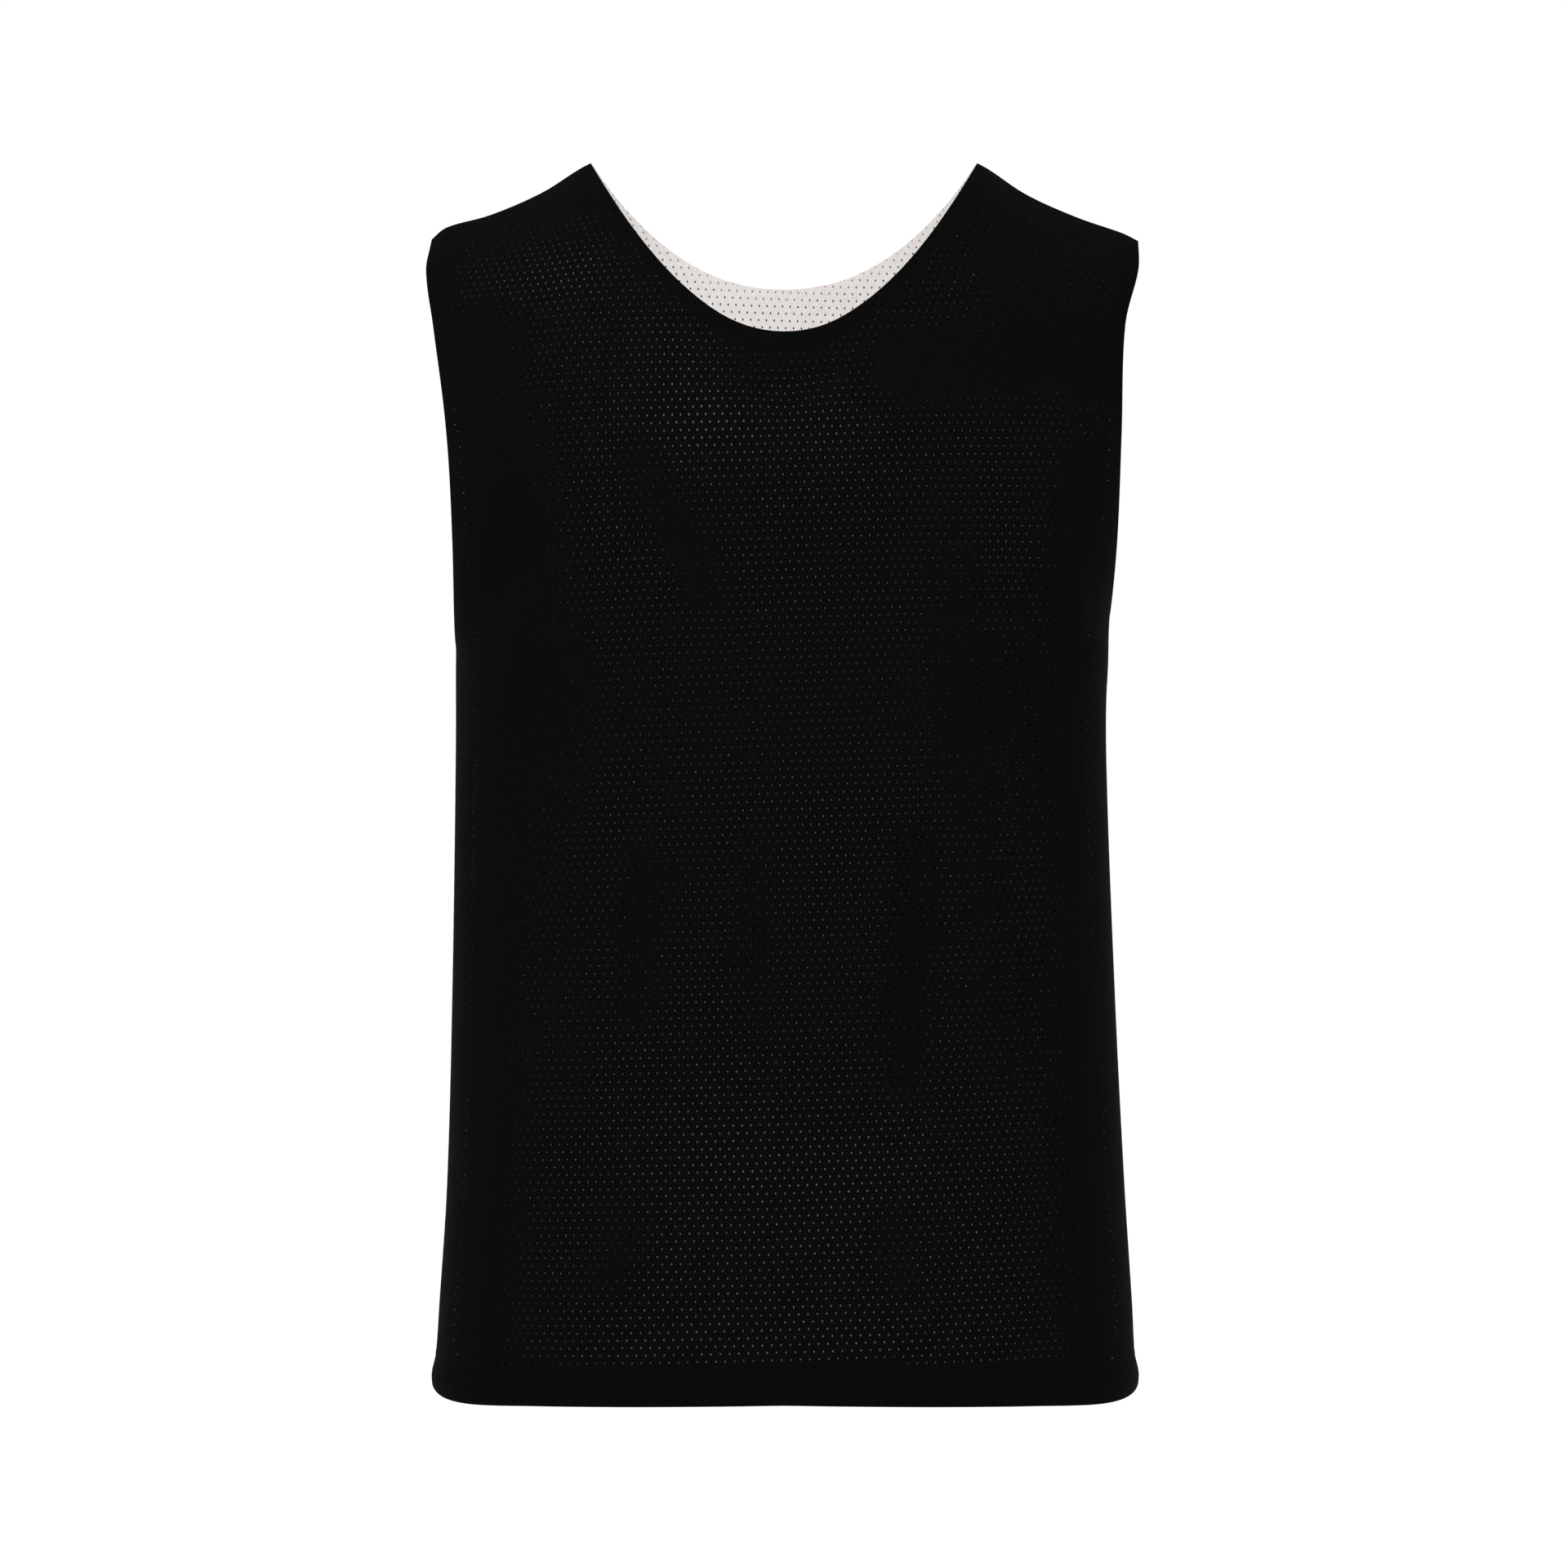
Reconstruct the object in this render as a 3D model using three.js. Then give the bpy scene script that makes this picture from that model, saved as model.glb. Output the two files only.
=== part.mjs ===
// Reversible sleeveless lacrosse jersey, filled out as it is worn, with nobody in it.
// Two mesh layers, black outside and white inside, each cut as one front and one back.
//
// +Z is up, the front faces -Y and +X is to the right of someone facing the front.
// Heights in the tables run up from a level line just under the hem; the origin is between
// the shoulder seams, where the wearer's shoulders hold the jersey.
import * as THREE from 'three';

// ---- Driving dimensions, in millimetres -----------------------------------------------------

const SEAM_HEIGHT = 690;            // mean height of the shoulder seams, which is the origin
const NECK_POINT_HEIGHT = 714;      // top of each shoulder seam, beside the neck
const NECK_HALF_WIDTH = 112;        // from the middle to each neck point
const HEM_DEPTH = 24;               // cloth turned up inside at the hem
const UNDERARM_HEIGHT = 442;        // mean height of the underarm points
const UNDERARM_TILT = 8;            // the +X underarm is this much higher than the mean
const ARMHOLE_WAIST_HEIGHT = 552;   // where the armhole is widest from front to back
const ARMHOLE_HALF_DEPTH = 52;      // from the shoulder line to the armhole's front and back
const SHOULDER_TIP_HEIGHT = 669;    // top of the armhole
const CHEST_TURN_HEIGHT = 490;      // where the middle of each panel starts to lean in
const SHOULDER_ROLL = 70 * Math.PI / 180; // how far the cloth leans over by the shoulder seams
const FULLNESS = 2.4;               // how full the level sections are, where an ellipse is 2

const EDGE_BEND = 3;                // power by which the rows bend up towards the armholes
const FOLDS_FADE_ACROSS = 6;        // powers by which folds hold until near the edges
const FOLDS_FADE_UP = 10;
const SHOULDER_SEAM = 3;            // how far up the shoulder seams are, as up is counted
const NORMAL_STEP = 0.01;           // to each side, where a normal is taken
const HALVINGS = 30;                // that find where a line is cut

const CLOTH = 1;                    // one thickness of mesh with its loft
const TURNED_CLOTH = 2;             // two thicknesses, where an edge is turned in
const GAP = 0.3;                    // between neighbouring pieces

const COLUMNS_ACROSS_STRAP = 6;
const COLUMNS_ACROSS_NECK = 10;
const ROWS_TO_UNDERARM = 9;         // above the turned-up hem
const ROWS_ABOVE_UNDERARM = 9;

// Half-widths of the garment at each height, to the side seams and then to the armhole edges.
const WIDTHS = [
  { height: 0, left: 202, right: 203 },
  { height: 13, left: 204, right: 205.5 },
  { height: 26, left: 201.5, right: 203 },
  { height: 54, left: 199.5, right: 201.5 },
  { height: 124, left: 195, right: 197 },
  { height: 234, left: 192, right: 191.5 },
  { height: 374, left: 190, right: 186.5 },
  { height: 434, left: 190, right: 187.5 },
  { height: 494, left: 190, right: 191 },
  { height: 554, left: 193, right: 193 },
  { height: 614, left: 201, right: 195.5 },
  { height: 650, left: 206, right: 204 },
  { height: 669, left: 204, right: 205 },
];

// The hem's height from the middle of a panel, 0, to its side seams, 1, where it is pulled up.
const HEM_LINE = [
  { across: 0, height: 6 },
  { across: 0.48, height: 3.5 },
  { across: 0.7, height: 2 },
  { across: 0.85, height: 4 },
  { across: 1, height: 10 },
];

// Depths from the line of the side seams to the middle of each panel.
const DEPTHS = [
  { height: 0, front: 120, back: 115 },
  { height: 120, front: 116, back: 110 },
  { height: 260, front: 113, back: 106 },
  { height: 380, front: 115, back: 108 },
  { height: 450, front: 117, back: 110 },
  { height: 490, front: 115, back: 108 },
];

// The line over the shoulders, from the middle, where the neck is cut away, to the tip.
const SHOULDER_LINE = [
  { x: 0, left: 738, right: 738 },
  { x: 60, left: 732, right: 732 },
  { x: 112, left: 714, right: 714 },
  { x: 140, left: 697, right: 696 },
  { x: 170, left: 684, right: 682.5 },
  { x: 196, left: 676.5, right: 673.5 },
  { x: 205, left: 669, right: 669 },
];

// The largest folds. Each runs from one end to the other, dies away over its breadth,
// and stands out of the cloth (or in, where its relief is negative).
const FRONT_FOLDS = [
  { fromX: -78, fromHeight: 529, toX: -38, toHeight: 462, relief: -4, breadth: 16 },
  { fromX: -40, fromHeight: 606, toX: 0, toHeight: 581, relief: -4, breadth: 16 },
  { fromX: 0, fromHeight: 581, toX: 30, toHeight: 602, relief: -4, breadth: 16 },
  { fromX: -33, fromHeight: 452, toX: 150, toHeight: 456, relief: -3, breadth: 22 },
  { fromX: -150, fromHeight: 486, toX: -178, toHeight: 446, relief: -5, breadth: 15 },
  { fromX: 148, fromHeight: 487, toX: 176, toHeight: 424, relief: 4, breadth: 15 },
  { fromX: 116, fromHeight: 634, toX: 184, toHeight: 652, relief: 4, breadth: 14 },
  { fromX: -80, fromHeight: 330, toX: -84, toHeight: 225, relief: -4, breadth: 20 },
  { fromX: -17, fromHeight: 335, toX: -14, toHeight: 210, relief: -3, breadth: 18 },
  { fromX: 76, fromHeight: 330, toX: 70, toHeight: 190, relief: -4, breadth: 20 },
  { fromX: -74, fromHeight: 150, toX: -104, toHeight: 60, relief: 4, breadth: 20 },
  { fromX: 2, fromHeight: 145, toX: -14, toHeight: 65, relief: 3, breadth: 18 },
  { fromX: 82, fromHeight: 150, toX: 64, toHeight: 55, relief: 4, breadth: 20 },
];

const BACK_FOLDS = [
  { fromX: 112, fromHeight: 596, toX: 60, toHeight: 470, relief: -4, breadth: 20 },
  { fromX: -106, fromHeight: 600, toX: -70, toHeight: 500, relief: -4, breadth: 18 },
  { fromX: -20, fromHeight: 560, toX: 8, toHeight: 420, relief: -3, breadth: 24 },
  { fromX: -92, fromHeight: 370, toX: -76, toHeight: 190, relief: 4, breadth: 22 },
  { fromX: 24, fromHeight: 330, toX: 10, toHeight: 120, relief: -4, breadth: 22 },
  { fromX: 98, fromHeight: 290, toX: 112, toHeight: 90, relief: 4, breadth: 20 },
  { fromX: -44, fromHeight: 180, toX: -58, toHeight: 40, relief: -3, breadth: 20 },
];

// Facing +1 is the front, which bulges towards -Y, and -1 is the back.
const FRONT = { facing: 1, depth: 'front', neckDrop: 104, neckPower: 2, folds: FRONT_FOLDS };
const BACK = { facing: -1, depth: 'back', neckDrop: 67, neckPower: 2.2, folds: BACK_FOLDS };

const BLACK_MESH = { color: '#0a0a0a', roughness: 0.85, metalness: 0 };
const WHITE_MESH = { color: '#f3f1ef', roughness: 0.85, metalness: 0 };

// ---- Reading the tables ---------------------------------------------------------------------

// A smooth curve through one column of a table, which passes through every row.
function curveThrough(table, along, column, where) {
  const last = table.length - 2;
  let row = 0;
  while (row < last && where > table[row + 1][along]) row += 1;
  const slope = (k) => {
    const before = table[Math.max(k - 1, 0)];
    const after = table[Math.min(k + 1, table.length - 1)];
    return (after[column] - before[column]) / (after[along] - before[along]);
  };
  const lower = table[row];
  const upper = table[row + 1];
  const span = upper[along] - lower[along];
  const t = THREE.MathUtils.clamp((where - lower[along]) / span, 0, 1);
  const rise = t * t * (3 - 2 * t);
  return lower[column] + (upper[column] - lower[column]) * rise
    + span * slope(row) * t * (1 - t) ** 2
    - span * slope(row + 1) * t * t * (1 - t);
}

const sideOf = (x) => (x < 0 ? 'left' : 'right');
const halfWidth = (side, height) => curveThrough(WIDTHS, 'height', sideOf(side), height);
const halfDepth = (panel, height) => curveThrough(DEPTHS, 'height', panel.depth, height);
const shoulderHeight = (x) => curveThrough(SHOULDER_LINE, 'x', sideOf(x), Math.abs(x));
const hemHeight = (across) => curveThrough(HEM_LINE, 'across', 'height', Math.abs(across));

// ---- The form of a panel --------------------------------------------------------------------
// across runs from -1 at one side seam or armhole edge to 1 at the other. up runs from 0 at the
// hem through 1 at the underarms and 2 where the armholes are widest to 3 at the shoulder seams.

function onSection(panel, across, edge, depth) {
  const edgeShare = Math.min(edge.depth / depth, 1);
  const edgeAngle = Math.acos(edgeShare);
  const out = Math.sin(across * edgeAngle) / Math.sin(edgeAngle);
  const falls = Math.abs(out) ** FULLNESS * (1 - edgeShare ** FULLNESS);
  const y = depth * Math.max(1 - falls, 0) ** (1 / FULLNESS);
  return { x: panel.facing * edge.halfWidth * out, y: -panel.facing * y };
}

function bodyPoint(panel, across, rise) {
  const side = panel.facing * across;
  const underarm = UNDERARM_HEIGHT + UNDERARM_TILT * side;
  const height = THREE.MathUtils.lerp(hemHeight(across), underarm, rise);
  const edge = { halfWidth: halfWidth(side, height), depth: 0 };
  const { x, y } = onSection(panel, across, edge, halfDepth(panel, height));
  return new THREE.Vector3(x, y, height);
}

function chestPoint(panel, across, rise) {
  const side = panel.facing * across;
  const turn = rise * Math.PI / 2;
  const underarm = UNDERARM_HEIGHT + UNDERARM_TILT * side;
  const edgeHeight = ARMHOLE_WAIST_HEIGHT - (ARMHOLE_WAIST_HEIGHT - underarm) * Math.cos(turn);
  const midHeight = THREE.MathUtils.lerp(underarm, CHEST_TURN_HEIGHT, rise);
  const edge = {
    halfWidth: halfWidth(side, edgeHeight),
    depth: ARMHOLE_HALF_DEPTH * Math.sin(turn),
  };
  const { x, y } = onSection(panel, across, edge, halfDepth(panel, midHeight));
  return new THREE.Vector3(x, y, THREE.MathUtils.lerp(midHeight, edgeHeight, Math.abs(across) ** EDGE_BEND));
}

function shoulderPoint(panel, across, rise) {
  const side = panel.facing * across;
  const turn = rise * SHOULDER_ROLL;
  const up = Math.sin(turn) / Math.sin(SHOULDER_ROLL);
  const forward = (Math.cos(turn) - Math.cos(SHOULDER_ROLL)) / (1 - Math.cos(SHOULDER_ROLL));
  const edgeHeight = THREE.MathUtils.lerp(ARMHOLE_WAIST_HEIGHT, SHOULDER_TIP_HEIGHT, up);
  const edge = { halfWidth: halfWidth(side, edgeHeight), depth: ARMHOLE_HALF_DEPTH };
  const { x, y } = onSection(panel, across, edge, halfDepth(panel, CHEST_TURN_HEIGHT));
  const base = THREE.MathUtils.lerp(CHEST_TURN_HEIGHT, ARMHOLE_WAIST_HEIGHT, Math.abs(across) ** EDGE_BEND);
  const height = THREE.MathUtils.lerp(base, shoulderHeight(x), up);
  return new THREE.Vector3(x, y * forward, height);
}

function smoothPoint(panel, across, up) {
  if (up <= 1) return bodyPoint(panel, across, up);
  if (up <= 2) return chestPoint(panel, across, up - 1);
  return shoulderPoint(panel, across, up - 2);
}

function foldRelief(panel, point) {
  let relief = 0;
  for (const fold of panel.folds) {
    const run = new THREE.Vector2(fold.toX - fold.fromX, fold.toHeight - fold.fromHeight);
    const reach = new THREE.Vector2(point.x - fold.fromX, point.z - fold.fromHeight);
    const nearest = THREE.MathUtils.clamp(reach.dot(run) / run.lengthSq(), 0, 1);
    const away = reach.sub(run.multiplyScalar(nearest)).length() / fold.breadth;
    relief += fold.relief * Math.exp(-away * away);
  }
  return relief;
}

function normalAt(panel, across, up, pointAt) {
  const left = pointAt(panel, Math.max(across - NORMAL_STEP, -1), up);
  const right = pointAt(panel, Math.min(across + NORMAL_STEP, 1), up);
  const low = pointAt(panel, across, Math.max(up - NORMAL_STEP, 0));
  const high = pointAt(panel, across, Math.min(up + NORMAL_STEP, SHOULDER_SEAM));
  return right.sub(left).cross(high.sub(low)).normalize();
}

// The outer face of the outer cloth. Folds die away before the seams and the edges.
function foldedPoint(panel, across, up) {
  const point = smoothPoint(panel, across, up);
  const inside = (1 - Math.abs(across) ** FOLDS_FADE_ACROSS)
    * (1 - (up / SHOULDER_SEAM) ** FOLDS_FADE_UP);
  const relief = foldRelief(panel, point) * inside;
  return point.addScaledVector(normalAt(panel, across, up, smoothPoint), relief);
}

// ---- The cut: side seam, armhole, shoulder seam and neck ------------------------------------

// How far up a column runs: to the shoulder seam, or to the neck where it is cut away.
function topOf(panel, across) {
  const cut = (up) => {
    const point = smoothPoint(panel, across, up);
    const outFromMiddle = Math.abs(point.x) / NECK_HALF_WIDTH;
    const neck = NECK_POINT_HEIGHT - panel.neckDrop * (1 - outFromMiddle ** panel.neckPower);
    return outFromMiddle < 1 && point.z > neck;
  };
  if (!cut(SHOULDER_SEAM)) return SHOULDER_SEAM;
  let below = 1;
  let above = SHOULDER_SEAM;
  for (let halving = 0; halving < HALVINGS; halving += 1) {
    const middle = (below + above) / 2;
    if (cut(middle)) above = middle;
    else below = middle;
  }
  return below;
}

// Where across the panel the shoulder seam meets the neck, on the given side.
function neckPointAcross(panel, side) {
  let inner = 0;
  let outer = 1;
  for (let halving = 0; halving < HALVINGS; halving += 1) {
    const middle = (inner + outer) / 2;
    const { x } = smoothPoint(panel, side * middle, SHOULDER_SEAM);
    if (Math.abs(x) < NECK_HALF_WIDTH) inner = middle;
    else outer = middle;
  }
  return side * outer;
}

function columnsOf(panel) {
  const first = neckPointAcross(panel, -1);
  const second = neckPointAcross(panel, 1);
  const columns = [];
  for (let k = 0; k < COLUMNS_ACROSS_STRAP; k += 1) {
    columns.push(THREE.MathUtils.lerp(-1, first, k / COLUMNS_ACROSS_STRAP));
  }
  for (let k = 0; k < COLUMNS_ACROSS_NECK; k += 1) {
    columns.push(THREE.MathUtils.lerp(first, second, k / COLUMNS_ACROSS_NECK));
  }
  for (let k = 0; k <= COLUMNS_ACROSS_STRAP; k += 1) {
    columns.push(THREE.MathUtils.lerp(second, 1, k / COLUMNS_ACROSS_STRAP));
  }
  return columns;
}

function rowsOf(panel, across) {
  const hemTop = HEM_DEPTH / UNDERARM_HEIGHT;
  const top = topOf(panel, across);
  const rows = [0];
  for (let k = 0; k < ROWS_TO_UNDERARM; k += 1) {
    rows.push(THREE.MathUtils.lerp(hemTop, 1, k / ROWS_TO_UNDERARM));
  }
  for (let k = 0; k <= ROWS_ABOVE_UNDERARM; k += 1) {
    rows.push(THREE.MathUtils.lerp(1, top, k / ROWS_ABOVE_UNDERARM));
  }
  return rows;
}

// ---- Solids -----------------------------------------------------------------------------------

// The points of a panel with their normals, one array for each column, from the hem up. A point
// on a seam keeps its normal level with the seam, so that the next panel meets it face to face.
function gridOf(panel) {
  return columnsOf(panel).map((across) => rowsOf(panel, across).map((up) => {
    const point = foldedPoint(panel, across, up);
    const normal = normalAt(panel, across, up, foldedPoint);
    const onSideSeam = Math.abs(across) === 1 && up <= 1;
    if (onSideSeam || up === SHOULDER_SEAM) normal.setY(0).normalize();
    point.y -= panel.facing * GAP / 2;
    point.z -= SEAM_HEIGHT;
    return { point, normal };
  }));
}

// How deep inside the form each face of a layer lies. Turned edges are two thicknesses.
function layerDepths(layer, columns, rows) {
  const turned = (column, row) => row <= 1 || row === rows - 1 || column === 0 || column === columns - 1;
  const thickness = (column, row) => (turned(column, row) ? TURNED_CLOTH : CLOTH);
  const outerFace = (column, row) => layer * (thickness(column, row) + GAP);
  const innerFace = (column, row) => outerFace(column, row) + thickness(column, row);
  return { outerFace, innerFace };
}

// The corners of a cell of the grid, in an order that splits it along its shorter diagonal.
function cellCorners(grid, column, row) {
  const corners = [[column, row], [column + 1, row], [column + 1, row + 1], [column, row + 1]];
  const [a, b, c, d] = corners.map(([atColumn, atRow]) => grid[atColumn][atRow].point);
  if (a.distanceTo(c) > b.distanceTo(d)) corners.push(corners.shift());
  return corners;
}

// A closed wall between two depths inside the grid.
function wall(grid, layer) {
  const columns = grid.length;
  const rows = grid[0].length;
  const { outerFace, innerFace } = layerDepths(layer, columns, rows);
  const positions = [];
  for (const face of [outerFace, innerFace]) {
    grid.forEach((cells, column) => cells.forEach(({ point, normal }, row) => {
      positions.push(...point.clone().addScaledVector(normal, -face(column, row)).toArray());
    }));
  }
  const outer = (column, row) => column * rows + row;
  const inner = (column, row) => columns * rows + outer(column, row);
  const index = [];
  const quad = (p, q, r, s) => index.push(p, q, r, p, r, s);
  for (let column = 0; column < columns - 1; column += 1) {
    for (let row = 0; row < rows - 1; row += 1) {
      const corners = cellCorners(grid, column, row);
      const [a, b, c, d] = corners.map((corner) => inner(...corner));
      quad(...corners.map((corner) => outer(...corner)));
      quad(a, d, c, b);
    }
    quad(inner(column, 0), inner(column + 1, 0), outer(column + 1, 0), outer(column, 0));
    const top = rows - 1;
    quad(outer(column, top), outer(column + 1, top), inner(column + 1, top), inner(column, top));
  }
  for (let row = 0; row < rows - 1; row += 1) {
    const end = columns - 1;
    quad(outer(0, row), outer(0, row + 1), inner(0, row + 1), inner(0, row));
    quad(inner(end, row), inner(end, row + 1), outer(end, row + 1), outer(end, row));
  }
  const geometry = new THREE.BufferGeometry();
  geometry.setAttribute('position', new THREE.Float32BufferAttribute(positions, 3));
  geometry.setIndex(index);
  geometry.computeVertexNormals();
  return geometry;
}

function piece(name, grid, layer, look) {
  const mesh = new THREE.Mesh(wall(grid, layer), new THREE.MeshStandardMaterial(look));
  mesh.name = name;
  return mesh;
}

const OUTER_LAYER = 0;
const INNER_LAYER = 1;

const jersey = new THREE.Group();
const frontGrid = gridOf(FRONT);
const backGrid = gridOf(BACK);
jersey.add(
  piece('outer_front', frontGrid, OUTER_LAYER, BLACK_MESH),
  piece('outer_back', backGrid, OUTER_LAYER, BLACK_MESH),
  piece('inner_front', frontGrid, INNER_LAYER, WHITE_MESH),
  piece('inner_back', backGrid, INNER_LAYER, WHITE_MESH),
);

export default jersey;
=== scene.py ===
"""Reversible sleeveless lacrosse jersey in perforated mesh, black outside and white inside.

The jersey is filled out as it is worn, with nobody in it. Each of its four cut pieces is a
sheet of warp knit with real holes, turned in at the neck, armholes, hem and seams.
"""

import math

import bpy
import numpy as np
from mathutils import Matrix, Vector


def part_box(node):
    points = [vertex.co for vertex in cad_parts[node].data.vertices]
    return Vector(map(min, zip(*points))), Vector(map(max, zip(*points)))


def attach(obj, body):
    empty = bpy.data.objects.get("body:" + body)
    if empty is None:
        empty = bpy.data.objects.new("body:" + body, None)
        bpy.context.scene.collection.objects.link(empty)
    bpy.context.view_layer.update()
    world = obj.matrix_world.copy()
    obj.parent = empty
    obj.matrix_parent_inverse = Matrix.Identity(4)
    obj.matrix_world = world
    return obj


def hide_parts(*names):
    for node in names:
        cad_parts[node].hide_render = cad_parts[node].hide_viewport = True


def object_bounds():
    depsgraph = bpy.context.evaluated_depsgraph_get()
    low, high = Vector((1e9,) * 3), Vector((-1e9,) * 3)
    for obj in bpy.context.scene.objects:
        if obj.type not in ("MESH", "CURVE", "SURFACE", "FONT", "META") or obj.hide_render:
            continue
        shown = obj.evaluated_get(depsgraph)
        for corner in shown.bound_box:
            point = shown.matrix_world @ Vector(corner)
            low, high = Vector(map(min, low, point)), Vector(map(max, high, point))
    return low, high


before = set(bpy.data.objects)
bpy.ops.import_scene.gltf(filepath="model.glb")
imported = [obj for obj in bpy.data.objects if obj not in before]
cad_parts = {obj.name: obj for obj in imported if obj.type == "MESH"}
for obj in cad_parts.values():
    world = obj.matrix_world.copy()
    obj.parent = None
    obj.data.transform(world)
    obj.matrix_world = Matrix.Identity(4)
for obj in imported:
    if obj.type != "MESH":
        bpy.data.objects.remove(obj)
cad_low, cad_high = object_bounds()

MM = 0.001


def rows_of(names, *rows):
    """A table whose columns have the given names."""
    return [dict(zip(names.split(), row)) for row in rows]


# ---- Sizes of the garment, in millimetres ----------------------------------------------------
# Heights in the tables run up from a level line just under the hem, as the solids' do.

NECK_POINT_HEIGHT = 714
NECK_HALF_WIDTH = 112
UNDERARM_HEIGHT = 442
UNDERARM_TILT = 8
ARMHOLE_WAIST_HEIGHT = 552
ARMHOLE_HALF_DEPTH = 52
SHOULDER_TIP_HEIGHT = 669
CHEST_TURN_HEIGHT = 490
SHOULDER_ROLL = math.radians(70)    # how far the cloth leans over by the shoulder seams
FULLNESS = 2.4                      # how full the level sections are, where an ellipse is 2

# The level line's place in the frame, from the top of the front panel, which is its neck points.
LEVEL_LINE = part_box("outer_front")[1][2] / MM - NECK_POINT_HEIGHT

# Half-widths at each height, to the side seams and then to the armhole edges.
WIDTHS = rows_of(
    "height left right",
    (0, 202, 203),
    (13, 204, 205.5),
    (26, 201.5, 203),
    (54, 199.5, 201.5),
    (124, 195, 197),
    (234, 192, 191.5),
    (374, 190, 186.5),
    (434, 190, 187.5),
    (494, 190, 191),
    (554, 193, 193),
    (614, 201, 195.5),
    (650, 206, 204),
    (669, 204, 205),
)

# The hem's height from the middle of a panel, 0, to its side seams, 1, where it is pulled up.
HEM_LINE = rows_of(
    "across height",
    (0, 6),
    (0.48, 3.5),
    (0.7, 2),
    (0.85, 4),
    (1, 10),
)

# Depths from the line of the side seams to the middle of each panel.
DEPTHS = rows_of(
    "height front back",
    (0, 120, 115),
    (120, 116, 110),
    (260, 113, 106),
    (380, 115, 108),
    (450, 117, 110),
    (490, 115, 108),
)

# The line over the shoulders, from the middle, where the neck is cut away, to the tip.
SHOULDER_LINE = rows_of(
    "x left right",
    (0, 738, 738),
    (60, 732, 732),
    (112, 714, 714),
    (140, 697, 696),
    (170, 684, 682.5),
    (196, 676.5, 673.5),
    (205, 669, 669),
)

# Folds run from one end to the other and die away over their breadth. Their relief is how far
# they stand out of the cloth, or in where it is negative.
FRONT_FOLDS = rows_of(
    "x height to_x to_height relief breadth",
    (-78, 529, -38, 462, -4, 16),
    (-40, 606, 0, 581, -4, 16),
    (0, 581, 30, 602, -4, 16),
    (-33, 452, 150, 456, -3, 22),
    (-150, 486, -178, 446, -5, 15),
    (148, 487, 176, 424, 4, 15),
    (116, 634, 184, 652, 4, 14),
    (-80, 330, -84, 225, -4, 20),
    (-17, 335, -14, 210, -3, 18),
    (76, 330, 70, 190, -4, 20),
    (-74, 150, -104, 60, 4, 20),
    (2, 145, -14, 65, 3, 18),
    (82, 150, 64, 55, 4, 20),
)

BACK_FOLDS = rows_of(
    "x height to_x to_height relief breadth",
    (112, 596, 60, 470, -4, 20),
    (-106, 600, -70, 500, -4, 18),
    (-20, 560, 8, 420, -3, 24),
    (-92, 370, -76, 190, 4, 22),
    (24, 330, 10, 120, -4, 22),
    (98, 290, 112, 90, 4, 20),
    (-44, 180, -58, 40, -3, 20),
)

# Where the holes stand more shut, or more open where the relief is negative, given as folds are.
# These places are chosen for the look of the cloth. Slack is only the name for what shuts a hole.
FRONT_SLACK = rows_of(
    "x height to_x to_height relief breadth",
    (-176, 615, -168, 500, 6, 24),
    (-178, 500, -190, 16, 9, 30),
    (-134, 560, -122, 190, 1.6, 22),
    (76, 592, 176, 602, 6, 25),
    (120, 655, 180, 600, 3, 20),
    (-22, 592, 22, 592, 2.6, 9),
    (-82, 535, -42, 462, 4, 12),
    (92, 520, 122, 200, 2, 22),
    (-40, 500, 60, 480, 1, 26),
    (-56, 290, 50, 240, 1.5, 56),
    (-150, 404, 130, 400, 2.2, 54),
    (186, 520, 194, 16, 9, 30),
    (-80, 310, -84, 225, 3, 12),
    (-17, 320, -14, 215, 2, 10),
    (76, 320, 70, 190, 3, 13),
    (-88, 104, -98, 75, 3, 12),
    (60, 108, 66, 76, 3, 11),
    (-208, 664, -200, 590, 8, 13),
    (-204, 680, -112, 716, 7, 16),
    (204, 678, 112, 716, 7, 16),
    (-180, 634, -116, 650, -3.6, 18),
    (-64, 606, -44, 562, -1.4, 20),
    (-60, 556, 20, 562, -1.3, 18),
    (-40, 146, 40, 128, -0.8, 26),
    (-90, 40, 70, 40, -0.6, 22),
)

BACK_SLACK = rows_of(
    "x height to_x to_height relief breadth",
    (150, 590, 40, 560, 5, 30),
    (-184, 560, -192, 60, 8, 28),
    (184, 540, 192, 60, 8, 28),
    (-130, 400, 120, 390, 3, 44),
    (-88, 340, -76, 200, 3, 14),
    (24, 320, 10, 130, 3, 14),
    (-120, 650, -60, 600, -2, 22),
)

# Facing +1 is the front, which bulges towards -Y, and -1 is the back.
# The neck's power is how square its curve is. The back neck of the black layer sits a little
# lower, out of sight behind the white one.
FRONT = dict(
    name="front", facing=1, neck_drops=dict(outer=104, inner=104), neck_power=2,
    folds=FRONT_FOLDS, slack=FRONT_SLACK,
)
BACK = dict(
    name="back", facing=-1, neck_drops=dict(outer=68.3, inner=67), neck_power=2.2,
    folds=BACK_FOLDS, slack=BACK_SLACK,
)

# The knit. Holes stand in staggered rows. Shift moves the rows along, by this share of a pitch,
# so that the two layers' holes don't come over each other.
BLACK_KNIT = dict(pitch=4.72, row=4.48, shift=0, hole_width=0.62, hole_height=1.16)
WHITE_KNIT = dict(pitch=4.72, row=4.48, shift=0.5, hole_width=0.78, hole_height=1.25)

GRAIN_TILT = math.radians(1.8)      # the rows of holes rise this much towards the front's right

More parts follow.
